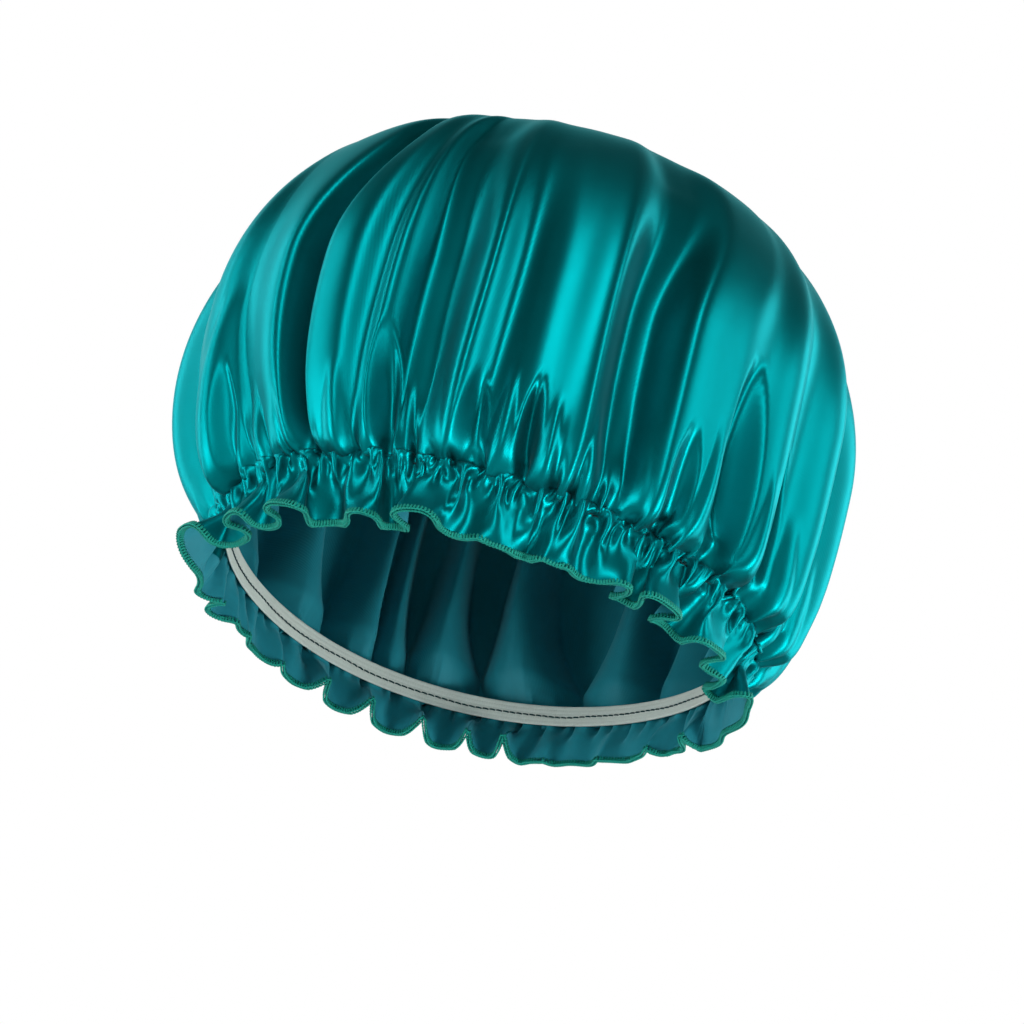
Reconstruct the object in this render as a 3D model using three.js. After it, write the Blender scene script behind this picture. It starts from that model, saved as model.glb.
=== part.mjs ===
// A gathered satin hair bonnet at its real size in millimetres, +Z up through the crown.
// One circle of satin is drawn up on a lapped elastic band by a ring of lockstitch. The cloth
// above the stitch line is the crown, the cloth below it is the frill, and its edge is overlocked.
// The bonnet stands on its hem. Azimuths are in degrees about +Z, 0 at +X and -90 at the front.
import * as THREE from 'three';
import { mergeVertices } from 'three/addons/utils/BufferGeometryUtils.js';

// Head and elastic
const HEAD_GIRTH = 578;
const BAND_WIDTH = 8;
const BAND_THICKNESS = 0.9;
const BAND_LAP_LENGTH = 14;
const LAP_RAMP_LENGTH = 12;
const BAND_SWAY = 2.2;
const BAND_SWAY_WAVES = 3;
const BAND_SWAY_AZIMUTH = 100;
const LAP_AZIMUTH = -60;

// Threads
const THREAD = 0.5;
const ZIGZAG_THREAD = 0.6;
const ZIGZAG_TURNS = 5;
const OVERLOCK_WIDTH = 2.8;
const OVERLOCK_THICKNESS = 0.7;
const OVERLOCK_SEAT = 0.6;

// Cloth and clearances
const CLOTH = 1;
const CLEARANCE = 0.4;
const REST_CUT = 0.5;

// Frill
const FRILL_DEPTH = 21.5;
const FRILL_SWING = 7;
const FRILL_SLIDE_LENGTH = 2.2;
const FRILL_TUCK = 3;
const FRILL_LEFT_FLARE = 13;
const FRILL_RIGHT_FLARE = 8;

// Crown
const BELLY_WIDTH = 244;
const BELLY_DEPTH = 232;
const BELLY_RISE = 68.7;
const CROWN_RISE = 100.3;
const CROWN_SHIFT = 3.4;
const NECK_HEIGHT = 4;
const FOLD_DEPTH = 9;

// Levels run from 0 at the stitch line over the belly to 1 at the middle of the crown.
const NECK_SHARE = 0.03;
const GATHER_SHARE = 0.08;
const BELLY_SHARE = 0.3;
const SHOULDER_SHARE = 0.6;
const SMOOTH_SHARE = 0.92;
const ringShares = [0, NECK_SHARE, GATHER_SHARE, 0.19, 0.34, 0.52, 0.69, 0.85];

// How the side of the crown swells from the neck to the belly, and how it closes over the top
const LOWER_SWELL = 0.8;
const LOWER_SWELL_LEAN = 0.35;
const UPPER_SWELL = 0.7;

// The crown's fold lines, front first and round to the back. Each row holds the azimuth of the
// line at the stitch line, at the belly and at the shoulder, and then its lift at the gathers,
// at the belly and at the shoulder as a share of FOLD_DEPTH: above zero a crest, below a valley.
const foldShares = [
  [-166, -166, -163, 0.2, 0.25, 0.1],
  [-160, -158, -156, -0.4, -0.35, -0.1],
  [-155, -150, -149, 0.3, 0.35, 0.1],
  [-148, -147.5, -147, -0.5, 0.2, 0],
  [-141, -145, -145, 0.35, 0.35, 0.15],
  [-137, -141, -140, -0.45, -0.3, -0.05],
  [-134, -137.5, -135, 0.3, 0.3, 0.15],
  [-131, -130.5, -125, -0.8, -1, -0.35],
  [-126.5, -125, -120, 0.3, 0.35, 0.2],
  [-121, -120, -119, -0.2, -0.2, -0.05],
  [-116.5, -116.5, -118, 0.3, 0.3, 0.1],
  [-111, -115.3, -117, -0.55, 0, 0],
  [-106.5, -113.6, -116, 0.25, 0.1, 0],
  [-103, -109, -113, -0.7, -0.75, -0.3],
  [-99.5, -98.5, -101, 0.3, 0.35, 0.15],
  [-94.5, -95, -98, -0.5, -0.6, -0.3],
  [-89, -90.5, -92, 0.15, 0.25, 0.15],
  [-84.5, -84, -85, -0.5, -0.55, -0.25],
  [-76, -80, -79.5, 0.35, 0.45, 0.2],
  [-71.5, -70, -62, -0.8, -0.9, -0.35],
  [-68, -64.5, -57, 0.15, 0.1, 0.1],
  [-65.5, -58.8, -53.5, -0.4, -0.3, -0.1],
  [-62.5, -56, -51.2, 0.4, 0.4, 0.2],
  [-53, -52.3, -49.2, -0.6, -0.45, -0.1],
  [-48.5, -48.3, -47, 0.3, 0.3, 0.2],
  [-33, -37.5, -40, -0.65, -0.6, -0.2],
  [-28.5, -32.5, -32, 0.3, 0.35, 0.2],
  [-16, -26.5, -25, -0.6, -0.6, -0.2],
  [-8, -20, -18, 0.3, 0.3, 0.15],
  [3, -9, -9, -0.6, -0.6, -0.2],
  [11, 1, 1, 0.3, 0.3, 0.15],
  [20, 11, 11, -0.6, -0.55, -0.2],
  [29, 25, 25, 0.3, 0.3, 0.15],
  [39.5, 39, 39, -0.6, -0.5, -0.2],
  [46.5, 46.5, 46.5, 0.3, 0.3, 0.15],
  [52, 54, 55, -0.7, -0.6, -0.2],
  [61.5, 67.5, 69, 0.35, 0.4, 0.15],
  [74, 80.5, 81, -0.85, -0.8, -0.25],
  [82.5, 86.7, 87.5, 0.3, 0.3, 0.1],
  [94.2, 94, 93.8, -0.8, -0.75, -0.25],
  [99.5, 99.3, 99.2, 0.25, 0.25, 0.1],
  [103.7, 103.6, 104, -0.45, -0.4, -0.1],
  [107.5, 106.3, 106.7, 0.2, 0.2, 0.1],
  [111.5, 108.8, 109.3, -0.7, -0.65, -0.2],
  [118.5, 117.5, 117.5, 0.35, 0.35, 0.15],
  [129.5, 128, 127.5, -0.75, -0.7, -0.25],
  [138, 137, 137, 0.3, 0.3, 0.15],
  [148, 147, 147, -0.6, -0.5, -0.15],
  [157, 157, 157, 0.3, 0.3, 0.15],
  [167, 166, 166, -0.6, -0.5, -0.2],
  [175, 175.5, 176, 0.3, 0.3, 0.15],
  [184.5, 184.5, 185, -0.55, -0.5, -0.2],
];
// Between lines further apart than this many degrees, one more column keeps the crest full
const WIDE_FOLD = 8;
const FULLNESS_SHARE = 0.7;
const AZIMUTHS_PER_LINE = 3;

// The frill's waves from azimuth 180 round by the front: how wide each is against the others,
// and how far it swings as a share of FRILL_SWING
const waveShares = [
  [1.1, 1.1], [0.9, 0.8], [1.05, 0.95], [0.85, 0.7], [1.15, 0.75], [0.8, 1.05], [1.25, 0.85],
  [0.95, 0.7], [1.1, 0.8], [0.8, 1.1], [0.9, 1.2], [1, 1.1], [1.1, 0.85], [0.9, 0.95],
  [1.2, 0.8], [0.85, 0.9], [1.05, 0.75], [1.15, 0.9], [0.85, 0.8], [1.1, 0.95], [0.95, 0.75],
  [1, 1],
];
const COLUMNS_PER_WAVE = 7;
const FLARE_SHARPNESS = 4;

// Facets
const BAND_STEPS = 96;
const THREAD_STEPS = 72;
const THREAD_SIDES = 6;
const ZIGZAG_STEPS = 40;
const TRIANGLE_CORNERS = 3;

// Worked out from the sizes above
const FULL_TURN = 2 * Math.PI;
const HEAD_RADIUS = HEAD_GIRTH / FULL_TURN;
const GROOVE = THREAD + 2 * CLEARANCE;
const SEAM_HEIGHT = FRILL_DEPTH + GROOVE / 2 - REST_CUT;
const LAP_ANGLE = BAND_LAP_LENGTH / HEAD_RADIUS;
const RAMP_ANGLE = LAP_RAMP_LENGTH / HEAD_RADIUS;
const LAP_STEP = BAND_THICKNESS + CLEARANCE;
// The frill hangs straight past the lower half of the band before it can swing
const FRILL_NECK = BAND_WIDTH / 2 - GROOVE / 2 + CLEARANCE;
const FRILL_FREE = FRILL_DEPTH - FRILL_NECK;
const OVERLOCK_FOOT_SHARE = 1 - (REST_CUT + CLEARANCE) / FRILL_FREE;
const OVERLOCK_TOP_SHARE = OVERLOCK_FOOT_SHARE - OVERLOCK_WIDTH / FRILL_FREE;

const radians = THREE.MathUtils.degToRad;
const smooth = (share) => THREE.MathUtils.smoothstep(share, 0, 1);

function around(azimuth, radius, height) {
  return new THREE.Vector3(radius * Math.cos(azimuth), radius * Math.sin(azimuth), height);
}

// Straight runs between knots
function graph(at, knots, values) {
  let step = 0;
  while (step < knots.length - 2 && at > knots[step + 1]) step += 1;
  const part = THREE.MathUtils.clamp((at - knots[step]) / (knots[step + 1] - knots[step]), 0, 1);
  return THREE.MathUtils.lerp(values[step], values[step + 1], part);
}

// Joins cross-sections, each a loop of points, into one closed body
function loft(sections, endless) {
  const size = sections[0].length;
  const spans = endless ? sections.length : sections.length - 1;
  const faces = [];
  for (let span = 0; span < spans; span += 1) {
    const here = span * size;
    const next = ((span + 1) % sections.length) * size;
    for (let side = 0; side < size; side += 1) {
      const other = (side + 1) % size;
      faces.push([here + side, next + side, next + other], [here + side, next + other, here + other]);
    }
  }
  if (!endless) {
    const last = (sections.length - 1) * size;
    for (let side = 1; side < size - 1; side += 1) {
      faces.push([0, side, side + 1], [last, last + side + 1, last + side]);
    }
  }
  const points = new THREE.BufferGeometry();
  const positions = sections.flat().flatMap((point) => point.toArray());
  points.setAttribute('position', new THREE.Float32BufferAttribute(positions, 3));
  points.setIndex(faces.flat());
  return withoutSlivers(mergeVertices(points));
}

// Drops the triangles that shrink to a line where columns meet at a pole
function withoutSlivers(geometry) {
  const index = Array.from(geometry.index.array);
  const kept = [];
  for (let start = 0; start < index.length; start += TRIANGLE_CORNERS) {
    const corners = index.slice(start, start + TRIANGLE_CORNERS);
    if (new Set(corners).size === TRIANGLE_CORNERS) kept.push(...corners);
  }
  geometry.setIndex(kept);
  geometry.computeVertexNormals();
  return geometry;
}

function piece(name, geometry, color, roughness, metalness = 0) {
  const material = new THREE.MeshStandardMaterial({ color, roughness, metalness });
  const mesh = new THREE.Mesh(geometry, material);
  mesh.name = name;
  return mesh;
}

// The elastic

function bandRadius(azimuth) {
  const phase = BAND_SWAY_WAVES * (azimuth - radians(BAND_SWAY_AZIMUTH));
  return HEAD_RADIUS + BAND_SWAY * Math.cos(phase);
}

function seamRadius(azimuth) {
  return bandRadius(azimuth) + BAND_THICKNESS + CLEARANCE;
}

// A strip that runs once round the head and laps over its own first end, on the inside
function elasticBand() {
  const sections = [];
  for (let step = 0; step <= BAND_STEPS; step += 1) {
    const run = (step / BAND_STEPS) * (FULL_TURN + LAP_ANGLE);
    const azimuth = radians(LAP_AZIMUTH) + run;
    const stepIn = LAP_STEP * smooth((run - FULL_TURN + RAMP_ANGLE) / RAMP_ANGLE);
    const inner = bandRadius(azimuth) - stepIn;
    const outer = inner + BAND_THICKNESS;
    const low = SEAM_HEIGHT - BAND_WIDTH / 2;
    const high = SEAM_HEIGHT + BAND_WIDTH / 2;
    sections.push([
      around(azimuth, outer, low), around(azimuth, outer, high),
      around(azimuth, inner, high), around(azimuth, inner, low),
    ]);
  }
  return loft(sections, false);
}

// The threads

function lapStepIn(azimuth) {
  const run = THREE.MathUtils.euclideanModulo(azimuth - radians(LAP_AZIMUTH) + Math.PI, FULL_TURN) - Math.PI;
  const rise = smooth((run + 2 * RAMP_ANGLE) / RAMP_ANGLE);
  const fall = smooth((run - LAP_ANGLE - RAMP_ANGLE / 2) / RAMP_ANGLE);
  return LAP_STEP * (rise - fall);
}

function threadRing(radiusAt) {
  const sections = [];
  for (let step = 0; step < THREAD_STEPS; step += 1) {
    const azimuth = (step / THREAD_STEPS) * FULL_TURN;
    const section = [];
    for (let side = 0; side < THREAD_SIDES; side += 1) {
      const angle = (side / THREAD_SIDES) * FULL_TURN;
      const radius = radiusAt(azimuth) + (THREAD / 2) * Math.cos(angle);
      section.push(around(azimuth, radius, SEAM_HEIGHT + (THREAD / 2) * Math.sin(angle)));
    }
    sections.push(section);
  }
  return loft(sections, true);
}

// On the outside the thread lies in the groove that it draws into the satin
function needleThread() {
  return threadRing((azimuth) => seamRadius(azimuth) + THREAD / 2);
}

// On the inside it lies along the middle of the elastic and steps over the lap
function bobbinThread() {
  return threadRing((azimuth) => bandRadius(azimuth) - lapStepIn(azimuth) - CLEARANCE - THREAD / 2);
}

// A zigzag across the upper half of the lap, clear of the bobbin thread
function lapZigzag() {
  const low = SEAM_HEIGHT + THREAD / 2 + CLEARANCE + ZIGZAG_THREAD / 2;
  const high = SEAM_HEIGHT + BAND_WIDTH / 2 - ZIGZAG_THREAD / 2;
  const points = [];
  for (let turn = 0; turn <= ZIGZAG_TURNS; turn += 1) {
    const share = (turn + 1) / (ZIGZAG_TURNS + 2);
    const azimuth = radians(LAP_AZIMUTH) + share * LAP_ANGLE;
    const radius = bandRadius(azimuth) - LAP_STEP - CLEARANCE - ZIGZAG_THREAD / 2;
    points.push(around(azimuth, radius, turn % 2 ? high : low));
  }
  const section = new THREE.Shape();
  section.absarc(0, 0, ZIGZAG_THREAD / 2, 0, FULL_TURN);
  return new THREE.ExtrudeGeometry(section, {
    extrudePath: new THREE.CatmullRomCurve3(points, false, 'catmullrom', 0),
    steps: ZIGZAG_STEPS,
    curveSegments: THREAD_SIDES / 2,
    bevelEnabled: false,
  });
}

// The crown

// Where the unfolded crown lies at an azimuth and a level
function crownBase(azimuth, level) {
  const seam = seamRadius(azimuth) + CLOTH;
  const seamBase = SEAM_HEIGHT + GROOVE / 2;
  const bellyBase = SEAM_HEIGHT + BELLY_RISE;
  if (level < NECK_SHARE) {
    return around(azimuth, seam, seamBase + NECK_HEIGHT * (level / NECK_SHARE));
  }
  if (level >= 1) return new THREE.Vector3(-CROWN_SHIFT, 0, bellyBase + CROWN_RISE);
  const belly = new THREE.Vector3(
    (BELLY_WIDTH / 2) * Math.cos(azimuth) - CROWN_SHIFT,
    (BELLY_DEPTH / 2) * Math.sin(azimuth),
    bellyBase,
  );
  if (level <= BELLY_SHARE) {
    const angle = (Math.PI / 2) * ((level - NECK_SHARE) / (BELLY_SHARE - NECK_SHARE));
    const swell = Math.sin(angle) ** (LOWER_SWELL - LOWER_SWELL_LEAN * Math.cos(azimuth));
    const neck = around(azimuth, seam, 0);
    const point = neck.lerp(belly, swell);
    point.z = THREE.MathUtils.lerp(bellyBase, seamBase + NECK_HEIGHT, Math.cos(angle));
    return point;
  }
  const angle = (Math.PI / 2) * ((level - BELLY_SHARE) / (1 - BELLY_SHARE));
  const width = Math.cos(angle) ** UPPER_SWELL;
  return new THREE.Vector3(
    (belly.x + CROWN_SHIFT) * width - CROWN_SHIFT,
    belly.y * width,
    bellyBase + CROWN_RISE * Math.sin(angle),
  );
}

// The outward direction square to the unfolded crown. At the neck it is the sum of the two
// directions that meet there, so that a wall set off along it keeps its thickness.
function crownOutward(azimuth, level) {
  if (level >= 1) return new THREE.Vector3(0, 0, 1);
  const radial = around(azimuth, 1, 0);
  if (level < NECK_SHARE) return radial;
  if (level === NECK_SHARE) return radial.add(new THREE.Vector3(0, 0, -1));
  const step = 0.001;
  const along = crownBase(azimuth + step, level).sub(crownBase(azimuth - step, level));
  const up = crownBase(azimuth, level + step).sub(crownBase(azimuth, level - step));
  return along.cross(up).normalize();
}

function foldAzimuth(line, level) {
  return radians(graph(level, [0, BELLY_SHARE, SHOULDER_SHARE], line.slice(0, AZIMUTHS_PER_LINE)));
}

function foldLift(line, level) {
  const [gather, belly, shoulder] = line.slice(AZIMUTHS_PER_LINE).map((share) => share * FOLD_DEPTH);
  const knots = [NECK_SHARE, GATHER_SHARE, BELLY_SHARE, SHOULDER_SHARE, SMOOTH_SHARE];
  return graph(level, knots, [0, gather, belly, shoulder, 0]);
}

// The fold lines as columns, with one more in the middle of each wide fold
function crownColumns() {
  const columns = [];
  const firstAgain = foldShares[0].map((value, at) => (at < AZIMUTHS_PER_LINE ? value + 360 : value));
  const lines = [...foldShares, firstAgain];
  foldShares.forEach((line, place) => {
    const next = lines[place + 1];
    columns.push((level) => [foldAzimuth(line, level), foldLift(line, level)]);
    if (Math.max(next[0] - line[0], next[1] - line[1]) <= WIDE_FOLD) return;
    columns.push((level) => {
      const lifts = [foldLift(line, level), foldLift(next, level)].sort((low, high) => low - high);
      const azimuth = (foldAzimuth(line, level) + foldAzimuth(next, level)) / 2;
      return [azimuth, THREE.MathUtils.lerp(lifts[0], lifts[1], FULLNESS_SHARE)];
    });
  });
  return columns;
}

function satinCrown() {
  const sections = crownColumns().map((column) => {
    const outside = [];
    const inside = [];
    for (const level of [...ringShares, 1]) {
      const [azimuth, lift] = column(level);
      const base = crownBase(azimuth, level);
      const outward = crownOutward(azimuth, level);
      outside.push(base.clone().addScaledVector(outward, lift));
      inside.unshift(base.clone().addScaledVector(outward, lift - CLOTH));
    }
    return [...outside, ...inside];
  });
  return loft(sections, true);
}

// The frill

// Where each wave starts, as a share of the whole turn
function waveStarts() {
  const total = waveShares.reduce((sum, [width]) => sum + width, 0);
  const starts = [0];
  for (const [width] of waveShares) starts.push(starts[starts.length - 1] + width / total);
  return starts;
}

const starts = waveStarts();

// The middle of the cloth, at a place counted in waves and a share of the way from the neck to
// the hem
function frillMiddle(place, share) {
  const count = waveShares.length;
  const wrapped = THREE.MathUtils.euclideanModulo(place, count);
  const wave = Math.floor(wrapped);
  const phase = (wrapped - wave) * FULL_TURN;
  const blend = wrapped - wave;
  const turn = THREE.MathUtils.lerp(starts[wave], starts[wave + 1], blend);
  const azimuth = Math.PI + turn * FULL_TURN;
  const nextWave = (wave + 1) % count;
  const swing = FRILL_SWING * THREE.MathUtils.lerp(waveShares[wave][1], waveShares[nextWave][1], blend);
  const sideFlare = Math.cos(azimuth) < 0 ? FRILL_LEFT_FLARE : FRILL_RIGHT_FLARE;
  const flare = sideFlare * Math.abs(Math.cos(azimuth)) ** FLARE_SHARPNESS - FRILL_TUCK;
  const out = share * (flare + swing * Math.sin(phase));
  const slide = -share * FRILL_SLIDE_LENGTH * Math.sin(2 * phase);
  const free = share * FRILL_FREE;
  const drop = Math.sqrt(free ** 2 - Math.min(out ** 2, free ** 2));
  const radius = seamRadius(azimuth) + CLOTH / 2 + out;
  return around(azimuth + slide / radius, radius, SEAM_HEIGHT - GROOVE / 2 - FRILL_NECK - drop);
}

function frillOutward(place, share) {
  const step = 0.01;
  const along = frillMiddle(place + step, share).sub(frillMiddle(place - step, share));
  if (share === 0) return along.cross(new THREE.Vector3(0, 0, 1)).normalize();
  const down = frillMiddle(place, share).sub(frillMiddle(place, share - step));
  return down.cross(along).normalize();
}

function frillPoint(place, share, offset, floor) {
  const point = frillMiddle(place, share).addScaledVector(frillOutward(place, share), offset);
  point.z = Math.max(point.z, floor);
  return point;
}

function frillSections(sectionAt) {
  const columns = waveShares.length * COLUMNS_PER_WAVE;
  return Array.from({ length: columns }, (_, column) => sectionAt(column / COLUMNS_PER_WAVE));
}

// The neck of the frill, straight above its place
function neckPoint(place, offset) {
  const point = frillPoint(place, 0, offset, 0);
  return point.setZ(SEAM_HEIGHT - GROOVE / 2);
}

// The lowest edge is cut flat where it stands
function satinFrill() {
  return loft(frillSections((place) => {
    const side = (offset) => [
      neckPoint(place, offset),
      ...[0, OVERLOCK_TOP_SHARE, 1].map((share) => frillPoint(place, share, offset, 0)),
    ];
    return [...side(-CLOTH / 2), ...side(CLOTH / 2).reverse()];
  }), true);
}

// A flat braid of thread over the edge, seated on the outside of the hem
function overlockEdge() {
  const near = CLOTH / 2 + OVERLOCK_SEAT;
  const far = near + OVERLOCK_THICKNESS;
  return loft(frillSections((place) => [
    frillPoint(place, OVERLOCK_TOP_SHARE, near, 0),
    frillPoint(place, OVERLOCK_FOOT_SHARE, near, 0),
    frillPoint(place, OVERLOCK_FOOT_SHARE, far, 0),
    frillPoint(place, OVERLOCK_TOP_SHARE, far, 0),
  ]), true);
}

const SATIN = 0x00868c;
const BAND_GREY = 0xb9c3b9;
const THREAD_TEAL = 0x0b4a4c;
const OVERLOCK_TEAL = 0x00967f;

// The crown's middle stands over the origin
const bonnet = new THREE.Group();
bonnet.position.x = CROWN_SHIFT;
bonnet.add(
  piece('satin_crown', satinCrown(), SATIN, 0.32, 0.25),
  piece('satin_frill', satinFrill(), SATIN, 0.32, 0.25),
  piece('elastic_band', elasticBand(), BAND_GREY, 0.85),
  piece('needle_thread', needleThread(), THREAD_TEAL, 0.7),
  piece('bobbin_thread', bobbinThread(), THREAD_TEAL, 0.7),
  piece('lap_zigzag_thread', lapZigzag(), THREAD_TEAL, 0.7),
  piece('overlock_edge', overlockEdge(), OVERLOCK_TEAL, 0.65),
);

export default bonnet;
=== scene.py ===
# A gathered satin hair bonnet, dressed over its CAD frame: the satin, the elastic, the stitching
# and the overlocked edge. Shapes are worked out in millimetres and turned to metres once, where
# the meshes are made. Azimuths are in degrees about +Z, 0 at +X and -90 at the front.
import math

import bpy
import numpy as np
from mathutils import Matrix, Vector


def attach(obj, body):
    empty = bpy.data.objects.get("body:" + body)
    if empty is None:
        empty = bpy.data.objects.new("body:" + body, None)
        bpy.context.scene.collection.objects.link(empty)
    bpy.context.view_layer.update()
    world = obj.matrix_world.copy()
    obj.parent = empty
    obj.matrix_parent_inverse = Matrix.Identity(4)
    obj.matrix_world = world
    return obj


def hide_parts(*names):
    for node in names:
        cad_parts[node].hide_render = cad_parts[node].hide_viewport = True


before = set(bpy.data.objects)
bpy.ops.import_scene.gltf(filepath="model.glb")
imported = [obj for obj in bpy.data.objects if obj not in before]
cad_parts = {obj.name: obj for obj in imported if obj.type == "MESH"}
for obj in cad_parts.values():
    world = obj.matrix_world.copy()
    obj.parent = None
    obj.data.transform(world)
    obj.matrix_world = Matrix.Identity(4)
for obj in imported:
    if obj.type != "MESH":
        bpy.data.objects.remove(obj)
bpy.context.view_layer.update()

MM = 0.001
TINY = 1e-9
TINY_GAP = 1e-6

# Head and elastic
BAND_GIRTH = 578
HEAD_RADIUS = BAND_GIRTH / (2 * math.pi)
BAND_WIDTH = 8
BAND_THICKNESS = 0.9
BAND_LAP = 14
LAP_RAMP = 12
LAP_STEP = 1.3
BAND_SWAY = 2.2
BAND_SWAY_WAVES = 3
BAND_SWAY_AZIMUTH = 100
LAP_AZIMUTH = -60

# Cloth
SATIN_CIRCLE = 560
SATIN_THICKNESS = 0.16
SEAM_HEIGHT = 21.65
SEAM_GAP = 0.75
NECK_HALF = 4.6
CROWN_SHIFT = 3.4

# Crown. A level is a height up the crown, from 0 at the stitch line to 1 at its middle. The valleys
# deepen by FRONT_DEEPER and BACK_DEEPER at DEEPER_LEVELS, and COLUMN_SHARES hold how much of the way
# from a valley to its crest the rear columns' sides take up there. The softness is the number of
# columns to each side over which the folds' lifts are averaged.
BELLY_WIDTH = 244
BELLY_DEPTH = 232
BELLY_RISE = 68.7
CROWN_RISE = 100.3
FOLD_DEPTH = 9
FOLD_SHARPNESS = 0.25
SHARP_REACH = 0.3
DEEPER_LEVELS = [0.08, 0.14, 0.22, 0.3]
FRONT_DEEPER = [0.7, 1.5, 1.9, 1.9]
BACK_DEEPER = [1.0, 2.4, 3.2, 3.4]
BACK_PLEATS = 1.8
COLUMN_SHARES = [0.85, 1, 0.6, 0.42]
COLUMN_FULLNESS = 0.7
BACK_ROUNDNESS = 0.12
BACK_START = 0.1
BACK_BLEND = 0.5
NECK_SHARE = 0.03
GATHER_SHARE = 0.08
BELLY_SHARE = 0.3
SHOULDER_SHARE = 0.6
SMOOTH_SHARE = 0.8
FRONT_SOFTNESS = 3
BACK_SOFTNESS = 1
LOWER_SWELL = 0.8
LOWER_SWELL_LEAN = 0.35
UPPER_SWELL = 0.7

# Frill. Where its swing changes by more than OVERLAP_START, the hem folds over itself.
FRILL_FREE = 17.75
FRILL_TUCK = 0.5
FRILL_OVERLAP = 4
OVERLAP_START = 0.8
FRILL_FLARE = 0.6
FRILL_PLEATS = 0.7
FRILL_TURN_HASTE = 1.15
FRILL_TURN_EASE = 0.25
LEAST_DROP_SHARE = 0.12
LEAST_HEIGHT = 0.2

# How finely the cloth is divided, and how many rows and columns its bends are rounded over
COLUMNS = 1152
CROWN_ROWS = 104
ROW_CROWDING = 1.3
NECK_ROWS = 5
FRILL_ROWS = 16
STEPS_PER_TURN = 60
HEM_EVENNESS = 0.4
SEAM_EVENNESS = 16
CROWN_BEND_ROWS = 9
CROWN_BEND_TIMES = 6
ROWS_BELOW_NECK = 3
ROWS_ABOVE_NECK = 4

# How many rows to each side of the stitch line have both faces glossy at the front. On the real
# bonnet the back is matt there too, but these pleats turn over more and would show pale specks.
PLEAT_ROWS = 9

# The crown's fold lines, front first and round to the back. Each row holds the azimuth of the
# line at the stitch line, at the belly and at the shoulder, and then its lift at the gathers,
# at the belly and at the shoulder as a share of FOLD_DEPTH: above zero a crest, below a valley.
FOLD_SHARES = [
    [-168, -166, -163, -0.3, -0.2, 0],
    [-158, -152, -150, 0.4, 0.3, 0.05],
    [-144, -146, -146, -0.35, -0.1, 0],
    [-134.5, -134.5, -129.5, 0.35, 0.5, 0.12],
    [-131.5, -131.5, -126, -0.9, -1.1, -0.4],
    [-128.5, -128.5, -122.5, 0.3, 0.35, 0.1],
    [-124, -122, -119.5, 0.35, 0.45, 0.15],
    [-120.5, -118, -117, 0, -0.15, -0.05],
    [-117, -115.5, -115, 0.2, 0.05, 0],
    [-112, -111, -113, -0.5, -0.6, -0.3],
    [-107, -106, -108, -0.5, -0.6, -0.25],
    [-102.5, -100, -101, 0.4, 0.4, 0.15],
    [-97, -95.5, -96, -0.3, -0.3, -0.1],
    [-88, -88, -88, 0.12, 0.06, 0.02],
    [-79, -80.5, -80, 0.35, 0.45, 0.2],
    [-72, -75.5, -72, -0.7, -0.75, -0.3],
    [-68.5, -71.5, -67, -0.65, -0.7, -0.25],
    [-62, -66, -60, 0.35, 0.4, 0.1],
    [-54, -57, -50, 0.1, 0.25, 0.1],
    [-47, -51, -46, -0.2, 0, 0.05],
    [-38, -44, -41, 0.35, 0.35, 0.1],
    [-29, -36, -34, -0.4, -0.35, -0.05],
    [-21, -27, -25, 0.3, 0.3, 0.05],
    [-12, -18, -17, -0.5, -0.45, -0.1],
    [-3, -9, -9, 0.3, 0.25, 0.05],
    [6, -1, -1, -0.4, -0.3, -0.1],
    [13, 7, 7, 0.3, 0.25, 0.05],
    [20, 14, 14, -0.6, -0.4, -0.1],
    [29, 25, 25, 0.3, 0.17, 0.04],
    [39.5, 39, 39, -0.6, -0.5, -0.2],
    [46.5, 46.5, 46.5, 0.3, 0.3, 0.15],
    [52, 54, 55, -0.7, -0.6, -0.2],
    [61.5, 67.5, 69, 0.35, 0.4, 0.15],
    [74, 80.5, 81, -0.85, -0.8, -0.25],
    [82.5, 86.7, 87.5, 0.3, 0.3, 0.1],
    [94.2, 94, 93.8, -0.8, -0.75, -0.25],
    [99.5, 99.3, 99.2, 0.25, 0.25, 0.1],
    [103.7, 103.6, 104, -0.45, -0.4, -0.1],
    [107.5, 106.3, 106.7, 0.2, 0.2, 0.1],
    [111.5, 108.8, 109.3, -0.7, -0.65, -0.2],
    [118.5, 117.5, 117.5, 0.35, 0.35, 0.15],
    [129.5, 128, 127.5, -0.75, -0.7, -0.25],
    [138, 137, 137, 0.3, 0.3, 0.15],
    [148, 147, 147, -0.6, -0.5, -0.15],
    [157, 157, 157, 0.3, 0.3, 0.15],
    [167, 166, 166, -0.6, -0.5, -0.2],
    [175, 175.5, 176, 0.3, 0.3, 0.15],
    [184.5, 184.5, 185, -0.55, -0.5, -0.2],
]

# How the short folds rise over WEDGE_FOOT millimetres, fade, taper and round off
WEDGE_FOOT = 8
WEDGE_FADE = 0.85
WEDGE_TAPER = 0.55
WEDGE_LEAST = 0.2
WEDGE_ROUNDNESS = 1.6

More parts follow.
